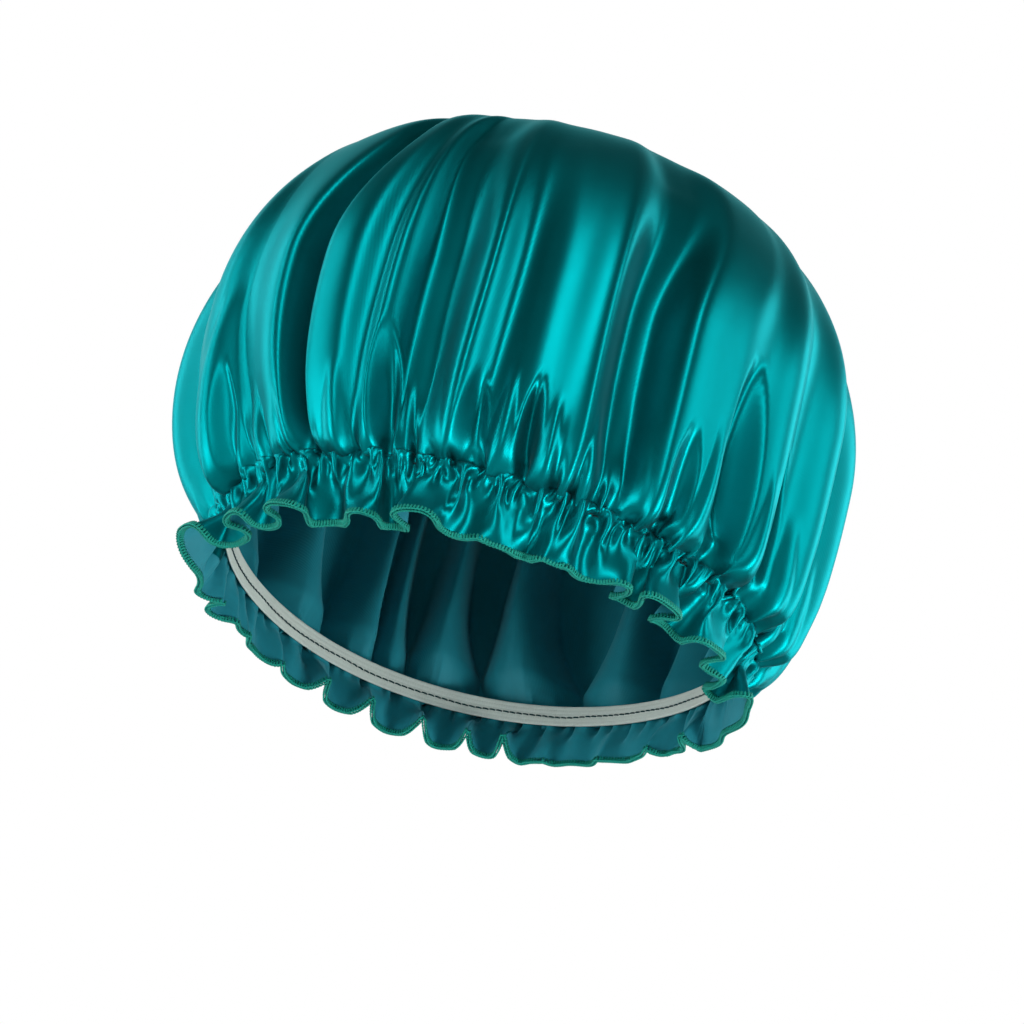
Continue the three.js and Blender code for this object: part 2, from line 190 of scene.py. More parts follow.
# Short folds that fan up from the gathers at the front: the azimuth of each at its foot, half its
# width in degrees, its height in mm, its lift as a share of FOLD_DEPTH and the degrees that it leans
# by the top. A crest narrows from its foot upwards, and a valley is widest half way up.
WEDGES = [
    [-160, 12, 75, 0.6, 9], [-171, 3.2, 40, -0.5, 0], [-153, 3.2, 44, -0.5, 2],
    [-143, 3.4, 34, 0.4, 0], [-124, 3.2, 36, 0.35, 0], [-115, 3, 50, -0.8, -1],
    [-111, 2.6, 30, 0.3, 0], [-106, 3, 40, 0.35, 0], [-99, 3, 38, -0.5, 0],
    [-93, 3.4, 44, 0.4, 0], [-88, 2.4, 40, -0.7, 0], [-84, 2.8, 36, 0.35, 0],
    [-75, 3, 40, 0.4, 0], [-66, 3, 44, 0.4, 0], [-58, 3, 44, -0.6, -1],
    [-52, 3.6, 52, 0.35, -2], [-45.5, 5.4, 80, -1.15, -3.5], [-38, 3.4, 48, 0.35, -1],
    [-32, 4.2, 72, -0.9, -1], [-25, 3.6, 46, 0.4, -1], [-17, 3.2, 56, -0.6, 0],
    [-9, 3.8, 52, 0.4, 0], [0, 3.4, 56, -0.6, 0], [8, 3.8, 46, 0.4, 0],
    [17, 4, 44, 0.4, 0],
]

# Where the hem turns back on itself, from the left round by the front: each row holds an azimuth
# and how far the hem swings there as a share of FRILL_FREE, above zero outwards and cut by
# FRILL_FLARE, below zero inwards.
HEM_SHARES = [
    [-168, 1.4], [-152, -0.2], [-147.5, 0.9], [-141.5, -0.14], [-134.5, 0.83],
    [-127, -0.54], [-117.5, 0.31], [-113, -0.51], [-106, 0.79], [-96, -0.22],
    [-89, -0.04], [-82.5, -0.46], [-78, 0.04], [-71.5, -0.25], [-61.5, 0.37],
    [-58, -0.54], [-54, 0.71], [-42, -0.68], [-33, 0.42], [-26, -0.39],
    [-21.5, -0.08], [-11, -0.59], [-14, 0.65], [18, 0.3], [16, -0.39],
    [26, 0.03], [31, -0.4], [40, -0.12], [48, -0.32], [56, -0.1],
    [64, -0.3], [70, -0.1], [74, -0.75], [79, -0.2], [84, -0.72],
    [90, -0.15], [96, -0.75], [103, -0.12], [110, -0.75], [117, -0.15],
    [124, -0.7], [131, -0.18], [138, -0.42], [146, -0.1], [153.5, -0.35],
    [160, -0.2], [165.5, 0.29], [170.5, -0.1], [174, 0.5], [180, 0.4],
]

# How unevenly the pleats of one layer vary, each between a least and a most
PLEAT_WIDTHS = (0.55, 1.45)
PLEAT_CRESTS = (0.35, 0.65)
PLEAT_STRENGTHS = (0.7, 1.35)
PLEAT_REACHES = (0.45, 1.6)
PLEAT_ROUNDNESS = 1.1

# Gathers between the main folds, coarse to fine: how many go round, how deep they are at the
# stitch line, how far they reach up the crown and down the frill, and the seed of their unevenness
GATHERS = [
    {"count": 52, "depth": 3.4, "up": 26, "down": 15, "seed": 11},
    {"count": 104, "depth": 2.0, "up": 17, "down": 8, "seed": 12},
    {"count": 196, "depth": 1.2, "up": 8, "down": 4, "seed": 13},
]


def lerp(start, end, share):
    return start + (end - start) * share


def smooth(share):
    share = np.clip(share, 0, 1)
    return share * share * (3 - 2 * share)


def eased(at, knots, values):
    """A smooth run from knot to knot. Each value may be an array."""
    result = values[0]
    for place in range(len(knots) - 1):
        share = smooth((at - knots[place]) / (knots[place + 1] - knots[place]))
        result = result + (values[place + 1] - values[place]) * share
    return result


def around(azimuth, radius, height):
    """Points about +Z. The azimuth is in radians."""
    x = radius * np.cos(azimuth)
    y = radius * np.sin(azimuth)
    return np.stack([x, y, np.broadcast_to(height, np.shape(x))], axis=-1)


def unit(vectors):
    return vectors / np.maximum(np.linalg.norm(vectors, axis=-1, keepdims=True), TINY)


def band_radius(azimuth):
    phase = BAND_SWAY_WAVES * (azimuth - math.radians(BAND_SWAY_AZIMUTH))
    return HEAD_RADIUS + BAND_SWAY * np.cos(phase)


def seam_radius(azimuth):
    return band_radius(azimuth) + BAND_THICKNESS + SEAM_GAP


# The frill's hem

def hem_line():
    """The hem's azimuths and swings, one for each column, spaced evenly along the cloth."""
    turns = HEM_SHARES + [[HEM_SHARES[0][0] + 360, HEM_SHARES[0][1]]]
    azimuths, swings = [], []
    share = np.arange(STEPS_PER_TURN) / STEPS_PER_TURN
    opening, closing = np.sin(math.pi / 2 * share), 1 - np.cos(math.pi / 2 * share)
    wave = (1 - np.cos(math.pi * share)) / 2
    for (here, swing), (there, next_swing) in zip(turns, turns[1:]):
        overlap = FRILL_OVERLAP * max(abs(next_swing - swing) - OVERLAP_START, 0)
        azimuths.append(lerp(here, there, share) + overlap * np.sin(2 * math.pi * share))
        petal = opening if next_swing > swing else closing
        back = at_back(np.radians(lerp(here, there, share)))
        swings.append(lerp(swing, next_swing, lerp(wave, petal, back)))
    azimuth = np.radians(np.concatenate(azimuths))
    swing = np.concatenate(swings) * FRILL_FREE
    swing = np.where(swing > 0, swing * FRILL_FLARE, swing)
    radius = HEAD_RADIUS + swing
    closed = np.append(azimuth, azimuth[0] + 2 * math.pi)
    steps = np.hypot(np.diff(closed) * radius, np.diff(np.append(swing, swing[0])))
    even = (steps.sum() / len(steps)) * HEM_EVENNESS
    run = np.concatenate([[0], np.cumsum(steps + even)])
    wanted = np.arange(COLUMNS) / COLUMNS * run[-1]
    return np.interp(wanted, run, closed), np.interp(wanted, run, np.append(swing, swing[0]))


def ring_average(values, width):
    """A periodic average over neighbouring columns, done three times for a soft edge."""
    kernel = np.ones(2 * width + 1) / (2 * width + 1)
    for _ in range(3):
        wrapped = np.concatenate([values[-width:], values, values[:width]])
        values = np.convolve(wrapped, kernel, mode="valid")
    return values


def seam_azimuths(hem_azimuth):
    """Where each column of cloth crosses the stitch line: the hem without its turns."""
    turn = np.arange(COLUMNS) / COLUMNS * 2 * math.pi
    return ring_average(hem_azimuth - turn, SEAM_EVENNESS) + turn


# Gathers

def gather_layer(azimuth, count, seed):
    """Uneven pleats round the stitch line: each column's rise from 0 in a valley to 1 on a crest,
    and how strong and how long its pleat is."""
    dice = np.random.default_rng(seed)
    widths = dice.uniform(*PLEAT_WIDTHS, count)
    starts = np.concatenate([[0], np.cumsum(widths)]) / widths.sum()
    turn = np.mod(azimuth / (2 * math.pi), 1)
    pleat = np.clip(np.searchsorted(starts, turn, side="right") - 1, 0, count - 1)
    share = (turn - starts[pleat]) / (starts[pleat + 1] - starts[pleat])
    crest = dice.uniform(*PLEAT_CRESTS, count)[pleat]
    skewed = np.where(share < crest, share / crest / 2, 0.5 + (share - crest) / (1 - crest) / 2)
    rise = np.sin(math.pi * skewed) ** PLEAT_ROUNDNESS
    strength = dice.uniform(*PLEAT_STRENGTHS, count)[pleat]
    reach = dice.uniform(*PLEAT_REACHES, count)[pleat]
    return rise * strength, reach


def gathers(azimuth, height, direction):
    """How far the pleats lift the cloth at a height above or below the stitch line."""
    lift = np.zeros(np.broadcast(azimuth, height).shape)
    for layer in GATHERS:
        rise, reach = gather_layer(azimuth, layer["count"], layer["seed"])
        fade = 1 - smooth(height / (layer[direction] * reach))
        lift += layer["depth"] * rise * fade
    return lift


# The crown

def crown_base(azimuth, level):
    """Where the unfolded crown lies at a level from the top of its neck, NECK_SHARE, to 1."""
    seam = seam_radius(azimuth)
    neck_top = SEAM_HEIGHT + NECK_HALF
    belly_base = SEAM_HEIGHT + BELLY_RISE
    belly_x = BELLY_WIDTH / 2 * np.cos(azimuth) - CROWN_SHIFT
    belly_y = BELLY_DEPTH / 2 * np.sin(azimuth)
    if level <= BELLY_SHARE:
        angle = math.pi / 2 * (level - NECK_SHARE) / (BELLY_SHARE - NECK_SHARE)
        swell = max(math.sin(angle), 0) ** (LOWER_SWELL - LOWER_SWELL_LEAN * np.cos(azimuth))
        x = lerp(seam * np.cos(azimuth), belly_x, swell)
        y = lerp(seam * np.sin(azimuth), belly_y, swell)
        height = lerp(belly_base, neck_top, math.cos(angle))
        return np.stack([x, y, np.full_like(x, height)], axis=-1)
    angle = math.pi / 2 * (level - BELLY_SHARE) / (1 - BELLY_SHARE)
    width = max(math.cos(angle), 0) ** UPPER_SWELL
    height = belly_base + CROWN_RISE * math.sin(angle)
    x = (belly_x + CROWN_SHIFT) * width - CROWN_SHIFT
    return np.stack([x, belly_y * width, np.full_like(x, height)], axis=-1)


def fold_table():
    """The fold lines with one more at each end, so that every azimuth lies between two."""
    lines = np.array(FOLD_SHARES)
    turn = np.array([360, 360, 360, 0, 0, 0])
    return np.vstack([lines[-1] - turn, lines, lines[0] + turn])


def at_back(azimuth):
    """1 at the back of the bonnet, where the folds show from inside, and 0 at the front."""
    return smooth((np.sin(azimuth) - BACK_START) / BACK_BLEND)


def folds(seam_azimuth, level):
    """Each column's azimuth at a level, and its lift by the main folds."""
    lines = fold_table()
    at_seam = (np.degrees(seam_azimuth) - lines[1, 0]) % 360 + lines[1, 0]
    line = np.clip(np.searchsorted(lines[:, 0], at_seam, side="right") - 1, 0, len(lines) - 2)
    share = (at_seam - lines[line, 0]) / (lines[line + 1, 0] - lines[line, 0])
    place = eased(level, [0, BELLY_SHARE, SHOULDER_SHARE], list(lines[:, :3].T))
    knots = [NECK_SHARE, GATHER_SHARE, BELLY_SHARE, SHOULDER_SHARE, SMOOTH_SHARE]
    none = np.zeros(len(lines))
    lift = eased(level, knots, [none, *lines[:, 3:].T, none]) * FOLD_DEPTH
    back = at_back(np.radians(lines[:, 1]))
    front_deeper = np.interp(level, DEEPER_LEVELS, FRONT_DEEPER)
    back_deeper = np.interp(level, DEEPER_LEVELS, BACK_DEEPER)
    lift = np.where(lift < 0, lift * lerp(front_deeper, back_deeper, back), lift)
    here, there = lift[line], lift[line + 1]
    from_valley = np.where(here < there, share, 1 - share)
    round_wave = (1 - np.cos(math.pi * from_valley)) / 2
    sharp_valley = np.sin(math.pi / 2 * from_valley)
    column_share = np.interp(level, DEEPER_LEVELS, COLUMN_SHARES)
    column = 1 - (1 - np.minimum(from_valley / column_share, 1) ** 2) ** COLUMN_FULLNESS
    column = lerp(column, round_wave, BACK_ROUNDNESS)
    sharpness = FOLD_SHARPNESS * (1 - smooth((level - GATHER_SHARE) / SHARP_REACH))
    shape = lerp(lerp(round_wave, sharp_valley, sharpness), column, back[line])
    low, high = np.minimum(here, there), np.maximum(here, there)
    moved = lerp(place[line], place[line + 1], share) + (np.degrees(seam_azimuth) - at_seam)
    return np.radians(moved), low + (high - low) * shape


def wedges(seam_azimuth, height):
    """How far the short folds lift the cloth."""
    degrees = np.degrees(seam_azimuth)
    lift = np.zeros(np.broadcast(seam_azimuth, height).shape)
    for foot, half_width, reach, share, lean in WEDGES:
        left = np.clip(1 - height / reach, 0, 1)
        full = left if share > 0 else 4 * left * (1 - left)
        off = (degrees - foot - lean * (1 - left) + 180) % 360 - 180
        width = half_width * np.maximum(full, WEDGE_LEAST) ** WEDGE_TAPER
        across = np.clip(off / width, -1, 1)
        peak = share * FOLD_DEPTH * smooth(height / WEDGE_FOOT) * full**WEDGE_FADE
        lift += peak * (1 - across**2) ** WEDGE_ROUNDNESS
    return lift


def outward(grid):
    """Directions square to a grid of points, away from the bonnet's middle."""
    along = np.roll(grid, -1, axis=1) - np.roll(grid, 1, axis=1)
    up = np.gradient(grid, axis=0)
    return unit(np.cross(along, up))


def soften_rows(grid, rows, times):
    """Rounds the bend between the first rows, without moving the first and the last of them."""
    for _ in range(times):
        middle = (grid[: rows - 2] + grid[2:rows]) / 4 + grid[1 : rows - 1] / 2
        grid[1 : rows - 1] = middle
    return grid


def crown_grid(seam_azimuth):
    """The cloth above the stitch line, from its neck to just below the middle of the crown."""
    rows, lifts = [], []
    for step in range(NECK_ROWS):
        height = SEAM_HEIGHT + NECK_HALF * step / NECK_ROWS
        rows.append(around(seam_azimuth, seam_radius(seam_azimuth), height))
        lifts.append(np.zeros(COLUMNS))
    for step in range(CROWN_ROWS):
        spread = (step / CROWN_ROWS) ** ROW_CROWDING
        level = lerp(NECK_SHARE, 1, spread)
        azimuth, lift = folds(seam_azimuth, level)
        softness = smooth((level - GATHER_SHARE) / (BELLY_SHARE - GATHER_SHARE))
        front, back = ring_average(lift, FRONT_SOFTNESS), ring_average(lift, BACK_SOFTNESS)
        soft = lerp(front, back, at_back(seam_azimuth))
        lift = lerp(lift, soft, softness)
        rows.append(crown_base(azimuth, level))
        lifts.append(lift)
    base = soften_rows(np.array(rows), NECK_ROWS + CROWN_BEND_ROWS, CROWN_BEND_TIMES)
    steps = np.linalg.norm(np.diff(base, axis=0), axis=-1)
    height = np.vstack([np.zeros(COLUMNS), np.cumsum(steps, axis=0)])
    face = outward(base)
    sideways = np.stack([face[..., 0], face[..., 1], 0 * face[..., 2]], axis=-1)
    fold_way = unit(lerp(face, sideways, at_back(seam_azimuth)[None, :, None]))
    pleats = gathers(seam_azimuth, height, "up") * lerp(1, BACK_PLEATS, at_back(seam_azimuth))
    pleats += wedges(seam_azimuth, height)
    return base + fold_way * np.array(lifts)[..., None] + face * pleats[..., None]


# The frill

def frill_grid(seam_azimuth, hem_azimuth, swing):
    """The cloth below the stitch line, from the hem upwards."""
    rows = []
    neck_foot = SEAM_HEIGHT - NECK_HALF
    for step in range(FRILL_ROWS):
        share = 1 - step / FRILL_ROWS
        out = share * (swing - FRILL_TUCK)
        eased_turn = smooth(share * FRILL_TURN_HASTE) * FRILL_TURN_EASE
        azimuth = lerp(seam_azimuth, hem_azimuth, eased_turn + share * (1 - FRILL_TURN_EASE))
        free = share * FRILL_FREE
        drop = np.sqrt(np.maximum(free**2 - out**2, (LEAST_DROP_SHARE * free) ** 2))
        radius = seam_radius(azimuth) + out
        rows.append(around(azimuth, radius, neck_foot - drop))
    for step in range(NECK_ROWS):
        height = lerp(neck_foot, SEAM_HEIGHT, step / NECK_ROWS)
        rows.append(around(seam_azimuth, seam_radius(seam_azimuth), height))
    base = np.array(rows)
    steps = np.linalg.norm(np.diff(base, axis=0), axis=-1)
    below = np.vstack([np.cumsum(steps[::-1], axis=0)[::-1], np.zeros(COLUMNS)]) + 1
    lift = gathers(seam_azimuth, below, "down") * FRILL_PLEATS
    return base + outward(base) * lift[..., None]


def cloth_grid():
    """The whole satin circle as rows of columns, from the hem to near the crown's middle."""
    hem_azimuth, swing = hem_line()
    seam_azimuth = seam_azimuths(hem_azimuth)
    frill = frill_grid(seam_azimuth, hem_azimuth, swing)
    grid = np.vstack([frill, crown_grid(seam_azimuth)])
    neck_top = FRILL_ROWS + 2 * NECK_ROWS
    neck = grid[FRILL_ROWS - ROWS_BELOW_NECK : neck_top + ROWS_ABOVE_NECK]
    neck[:] = soften_rows(neck.copy(), len(neck), 1)
    grid[..., 2] = np.maximum(grid[..., 2], LEAST_HEIGHT)
    grid = settle(grid)
    grid[..., 0] += CROWN_SHIFT
    return grid


# Settling the cloth

# The drawn folds keep their places while the satin between them finds its own. Every table has
# rows of a height and a value, and heights are measured along the cloth, up from the stitch line.
# STIFFNESS keeps the drawn bends over a reach of rows or columns. FULLNESS is how much longer a ring
# of cloth is than the smooth ring that it makes. HOLD draws the broad folds, of up to FOLDS_KEPT
# waves a turn, back to their places. BACK_HELD is how much of its freedom the rear cloth loses.
SETTLE_STEPS = 240
AIR = 0.006
DRAG = 0.9
DRIFT = 0.4
PULL_ALONG = 0.3
PULL_SLANTED = 0.1
CREASE_STIFFNESS = 0.25
STIFFNESS = [
    {"along": "row", "reach": 3, "shares": [[-8, 0.1], [-4, 0], [12, 0], [16, 0.12]]},
    {"along": "row", "reach": 6, "shares": [[28, 0], [45, 0.12]]},
    {"along": "column", "reach": 3, "shares": [[-7, 0.15], [-3, 0], [2, 0], [8, 0.15]]},
    {"along": "column", "reach": 7, "shares": [[14, 0], [26, 0.15]]},
]
FULLNESS = [[-25, 1.9], [0, 1.9], [6, 1.65], [14, 1.3], [30, 1.1], [50, 1], [262, 1]]
FREE_BELOW = 14
HELD_ABOVE = 50
LOOSENESS = [[FREE_BELOW, 1], [HELD_ABOVE, 0]]
AIR_SHARES = [[0, 0], [8, 1], [FREE_BELOW, 1], [HELD_ABOVE, 0]]
FOLDS_KEPT = [[-25, 26], [0, 30], [50, 30], [70, 60]]
HOLD = [[-25, 0.5], [-8, 0.4], [0, 0.3], [18, 0.3], [50, 0.6]]
HOLD_EVERY = 5
BACK_HELD = [[12, 0], [24, 1]]
HELD_GIVE = 0.5
EVEN_WAVES = 40
WAVE_CUTOFF = 6
DRAWN_SHARE = 0.7
LEAST_SPREAD = 0.2
ELASTIC_ROWS = 6


def by_height(table, height):
    """A value for each row of cloth, as a column that spreads over its points."""
    places, values = np.array(table).T
    return np.interp(height, places, values).astype(np.float32)[:, None, None]


def pull(cloth, rows_on, columns_on, rest, share):
    """Draws each point and the one some rows and columns on towards their distance at rest."""
    start = cloth[: len(cloth) - rows_on]
    gap = np.roll(cloth[rows_on:], -columns_on, axis=1) - start
    length = np.sqrt((gap * gap).sum(-1, keepdims=True)) + TINY_GAP
    move = share * (1 - rest / length) * gap
    cloth[: len(cloth) - rows_on] += move
    cloth[rows_on:] -= np.roll(move, columns_on, axis=1)


def bend(cloth, reach, along):
    """How far each point lies off the middle of the two at a reach along its row or column."""
    if along == "row":
        return (np.roll(cloth, reach, axis=1) + np.roll(cloth, -reach, axis=1)) / 2 - cloth
    result = np.zeros_like(cloth)
    result[reach:-reach] = (cloth[: -2 * reach] + cloth[2 * reach :]) / 2 - cloth[reach:-reach]
    return result


def stiffen(cloth, reach, share, along):
    """Evens out the bend along each row or column."""
    cloth -= share * bend(bend(cloth, reach, along), reach, along)


def broad_part(offsets, kept):
    """The offsets without anything finer than so many waves a turn."""
    waves = np.fft.rfft(offsets, axis=1)
    count = np.arange(waves.shape[1])[None, :, None]
    waves = waves * np.exp(-((count / kept) ** WAVE_CUTOFF))
    return np.fft.irfft(waves, n=offsets.shape[1], axis=1)


def keep_outside_elastic(cloth, seam):
    """Cloth beside the stitch line lies on the elastic and never inside it."""
    near = cloth[seam - ELASTIC_ROWS : seam + ELASTIC_ROWS + 1]
    radius = np.hypot(near[..., 0], near[..., 1])
    least = seam_radius(np.arctan2(near[..., 1], near[..., 0]))
    near[..., :2] *= np.maximum(least / radius, 1)[..., None]


def settle(grid):
    """Lets the drawn cloth buckle: too full for its rows, it bulges and puckers between folds."""
    seam = FRILL_ROWS + NECK_ROWS
    row_gap = np.linalg.norm(np.diff(grid, axis=0), axis=-1).mean(axis=1)
    height = np.concatenate([[0], np.cumsum(row_gap)])
    height = height - height[seam]
    drawn = grid.astype(np.float32)
    middle = drawn[..., :2].mean(axis=1, keepdims=True)
    ring = 2 * math.pi * np.linalg.norm(drawn[..., :2] - middle, axis=-1).mean(axis=1)
    links = np.linalg.norm(np.roll(drawn, -1, axis=1) - drawn, axis=-1, keepdims=True)
    now = links.sum(axis=1, keepdims=True)
    wanted = ring[:, None, None] * by_height(FULLNESS, height)
    loose = by_height(LOOSENESS, height)
    wanted = np.maximum(lerp(now, wanted, loose), now)
    spread = lerp(1, broad_part(links, EVEN_WAVES) / (now / COLUMNS), DRAWN_SHARE)
    along = (wanted / COLUMNS * np.maximum(spread, LEAST_SPREAD)).astype(np.float32)
    up = row_gap.astype(np.float32)[:, None, None]
    slanted = np.sqrt(along[:-1] ** 2 + up**2)
    air = AIR * by_height(AIR_SHARES, height)
    kept = by_height(FOLDS_KEPT, height)
    hold = by_height(HOLD, height)
    shares = [by_height(layer["shares"], height) for layer in STIFFNESS]
    back = at_back(np.arctan2(drawn[seam, :, 1], drawn[seam, :, 0]))[:, None]
    free = loose * (1 - back * by_height(BACK_HELD, height))
    cloth, drift = drawn.copy(), np.zeros_like(drawn)
    for step in range(SETTLE_STEPS):
        before = cloth.copy()
        cloth += drift * DRAG + outward(cloth).astype(np.float32) * air
        pull(cloth, 0, 1, along, PULL_ALONG)
        pull(cloth, 1, 0, up, PULL_ALONG)
        pull(cloth, 1, 1, slanted, PULL_SLANTED)
        pull(cloth, 1, -1, slanted, PULL_SLANTED)
        stiffen(cloth, 1, CREASE_STIFFNESS, "row")
        stiffen(cloth, 1, CREASE_STIFFNESS, "column")
        offset = cloth - drawn
        for layer, share in zip(STIFFNESS, shares):
            stiffen(offset, layer["reach"], share, layer["along"])
        cloth = drawn + offset
        if step % HOLD_EVERY == 0:
            cloth -= (hold * broad_part(cloth - drawn, kept)).astype(np.float32)
        cloth = drawn + (cloth - drawn) * lerp(HELD_GIVE, 1, free)
        cloth[seam] = drawn[seam]
        keep_outside_elastic(cloth, seam)
        cloth[..., 2] = np.maximum(cloth[..., 2], LEAST_HEIGHT)
        drift = np.clip(cloth - before, -DRIFT, DRIFT)
    return cloth.astype(float)


# Meshes

def new_mesh(name, points, faces, uv=None, smooth_faces=True):
    """A mesh object from points in millimetres and faces as rows of corner numbers."""
    mesh = bpy.data.meshes.new(name)
    mesh.from_pydata((points * MM).tolist(), [], [list(face) for face in faces])
    if uv is not None:
        layer = mesh.uv_layers.new(name="flat")
        corner = np.zeros(len(mesh.loops), dtype=np.int32)
        mesh.loops.foreach_get("vertex_index", corner)
        layer.data.foreach_set("uv", uv[corner].ravel())
    mesh.polygons.foreach_set("use_smooth", [smooth_faces] * len(mesh.polygons))
    mesh.update()
    piece = bpy.data.objects.new(name, mesh)
    bpy.context.scene.collection.objects.link(piece)
    return piece


def grid_faces(rows, columns):
    """Four-cornered faces over a grid that closes round its columns."""
    row, column = np.meshgrid(np.arange(rows - 1), np.arange(columns), indexing="ij")
    here = row * columns + column
    right = row * columns + (column + 1) % columns
    return np.stack([here, right, right + columns, here + columns], axis=-1).reshape(-1, 4)


def satin_uv(rows):
    """Places on the flat circle of satin, in metres: the weave and the sheen follow them."""
    turn = np.arange(COLUMNS) / COLUMNS * 2 * math.pi
    share = np.linspace(1, 0, rows + 1)[:-1]
    reach = SATIN_CIRCLE / 2 * MM * share[:, None]
    uv = np.stack([reach * np.cos(turn), reach * np.sin(turn)], axis=-1).reshape(-1, 2)
    return np.vstack([uv, [[0, 0]]])


# The material of a face, out of the four that build() gives the cloth
PLAIN_FACES = 0
GLOSSY_BOTH = 2


def pleat_faces(grid):
    """Which faces lie beside the stitch line at the front, where the pleats turn over."""
    seam = FRILL_ROWS + NECK_ROWS
    row, column = np.divmod(np.arange((len(grid) - 1) * COLUMNS), COLUMNS)
    azimuth = np.arctan2(grid[seam, column, 1], grid[seam, column, 0])
    return (np.abs(row - seam) <= PLEAT_ROWS) & (at_back(azimuth) == 0)


def satin_cloth(grid):
    """The circle of satin. The wall's back takes the material after that of its face."""
    rows = grid.shape[0]
    pole = grid[-1].mean(axis=0)
    points = np.vstack([grid.reshape(-1, 3), [pole]])
    faces = [tuple(face) for face in grid_faces(rows, COLUMNS)]
    last = (rows - 1) * COLUMNS
    for column in range(COLUMNS):
        faces.append((last + column, last + (column + 1) % COLUMNS, rows * COLUMNS))
    piece = new_mesh("satin_cloth", points, faces, satin_uv(rows))
    materials = np.full(len(faces), PLAIN_FACES, dtype=np.int32)
    materials[: (rows - 1) * COLUMNS][pleat_faces(grid)] = GLOSSY_BOTH
    piece.data.polygons.foreach_set("material_index", materials)
    wall = piece.modifiers.new("wall", "SOLIDIFY")
    wall.thickness = SATIN_THICKNESS * MM
    wall.offset = -1
    wall.material_offset = 1
    wall.material_offset_rim = 0
    return piece


def tube(name, path, radius, sides=6, closed=True):
    """A round thread along a path of points."""
    path = np.asarray(path)
    if closed:
        ahead = np.roll(path, -1, axis=0) - np.roll(path, 1, axis=0)
    else:
        ahead = np.gradient(path, axis=0)
    ahead = unit(ahead)
    side = unit(np.cross(ahead, [0, 0, 1]) + TINY_GAP)
    lift = np.cross(side, ahead)
    angle = np.arange(sides) / sides * 2 * math.pi
    ring = np.cos(angle)[None, :, None] * side[:, None] + np.sin(angle)[None, :, None] * lift[:, None]
    points = (path[:, None] + ring * radius).reshape(-1, 3)
    count = len(path)
    faces = []
    for step in range(count if closed else count - 1):
        here, there = step * sides, (step + 1) % count * sides
        for corner in range(sides):
            other = (corner + 1) % sides
            faces.append((here + corner, here + other, there + other, there + corner))
    if not closed:
        faces.append(tuple(range(sides))[::-1])
        faces.append(tuple((count - 1) * sides + corner for corner in range(sides)))
    return new_mesh(name, points, faces)


# The elastic and its stitching

RIB_PITCH = 0.95
RIB_RELIEF = 0.11
CORDS = 5
CORD_RELIEF = 0.08
CORD_ROUNDNESS = 0.6
CORD_SHARE = 0.8
RIB_LEAST_SHARE = 0.55
EDGE_ROUNDING = 0.12
EDGE_START = 0.93
OUTER_INSET = 0.15
STEPS_PER_RIB = 4
STEPS_PER_CORD = 8

# The stitching
STITCH_LENGTH = 2.6
THREAD = 0.6
STITCH_WANDER = 0.4
WANDER_WAVES = 46
STITCH_SLANT = 0.22
STITCH_ROUNDNESS = 0.35
STITCH_DIP = 1.3
STITCH_OFFSET = -0.45
NEEDLE_STAND = 1.1
BOBBIN_SINK = 0.2
STEPS_PER_STITCH = 8
ZIGZAG_TURNS = 9
ZIGZAG_START = 0.15
ZIGZAG_LENGTH = 0.7
ZIGZAG_HEIGHTS = (0.9, 3.1)
ZIGZAG_SINK = 0.35


def lap_step_in(azimuth):
    """How far the elastic's inner face steps in over the lap."""
    start = math.radians(LAP_AZIMUTH)
    run = np.mod(azimuth - start + math.pi, 2 * math.pi) - math.pi
    ramp = LAP_RAMP / HEAD_RADIUS
    lap = BAND_LAP / HEAD_RADIUS
    return LAP_STEP * (smooth((run + 2 * ramp) / ramp) - smooth((run - lap - ramp / 2) / ramp))


def elastic():
    """A ribbed strip that runs once round the head and laps over its own first end."""
    lap = BAND_LAP / HEAD_RADIUS
    ramp = LAP_RAMP / HEAD_RADIUS
    full = 2 * math.pi + lap
    steps = int(full * HEAD_RADIUS / RIB_PITCH) * STEPS_PER_RIB
    run = np.linspace(0, full, steps + 1)
    azimuth = math.radians(LAP_AZIMUTH) + run
    step_in = LAP_STEP * smooth((run - 2 * math.pi + ramp) / ramp)
    rib = RIB_RELIEF * np.abs(np.cos(math.pi * run * HEAD_RADIUS / RIB_PITCH))
    across = np.linspace(-1, 1, STEPS_PER_CORD * CORDS + 1)
    cord_wave = np.abs(np.cos(math.pi * CORDS * (across + 1) / 2 + math.pi / 2))
    cord = CORD_RELIEF * cord_wave**CORD_ROUNDNESS
    edge = EDGE_ROUNDING * smooth((np.abs(across) - EDGE_START) / (1 - EDGE_START))
    height = SEAM_HEIGHT + across * BAND_WIDTH / 2
    rib_share = lerp(RIB_LEAST_SHARE, 1, cord / CORD_RELIEF)
    relief = cord * CORD_SHARE + rib[:, None] * rib_share - edge
    ground = band_radius(azimuth) - step_in
    inner = ground[:, None] + RIB_RELIEF + CORD_RELIEF - relief
    outer = np.broadcast_to((ground + BAND_THICKNESS - OUTER_INSET)[:, None], inner.shape)
    angles = np.broadcast_to(azimuth[:, None], inner.shape)
    heights = np.broadcast_to(height[None], inner.shape)
    front = around(angles, outer, heights)
    back = around(angles, inner, heights)[:, ::-1]
    sections = np.concatenate([front, back], axis=1)
    size = sections.shape[1]
    faces = []
    for row in range(steps):
        here = row * size
        for corner in range(size):
            other = (corner + 1) % size
            faces.append((here + corner, here + other, here + size + other, here + size + corner))
    faces.append(tuple(range(size))[::-1])
    faces.append(tuple(steps * size + corner for corner in range(size)))
    points = sections.reshape(-1, 3) + [CROWN_SHIFT, 0, 0]
    return new_mesh("elastic_strip", points, [face[::-1] for face in faces])


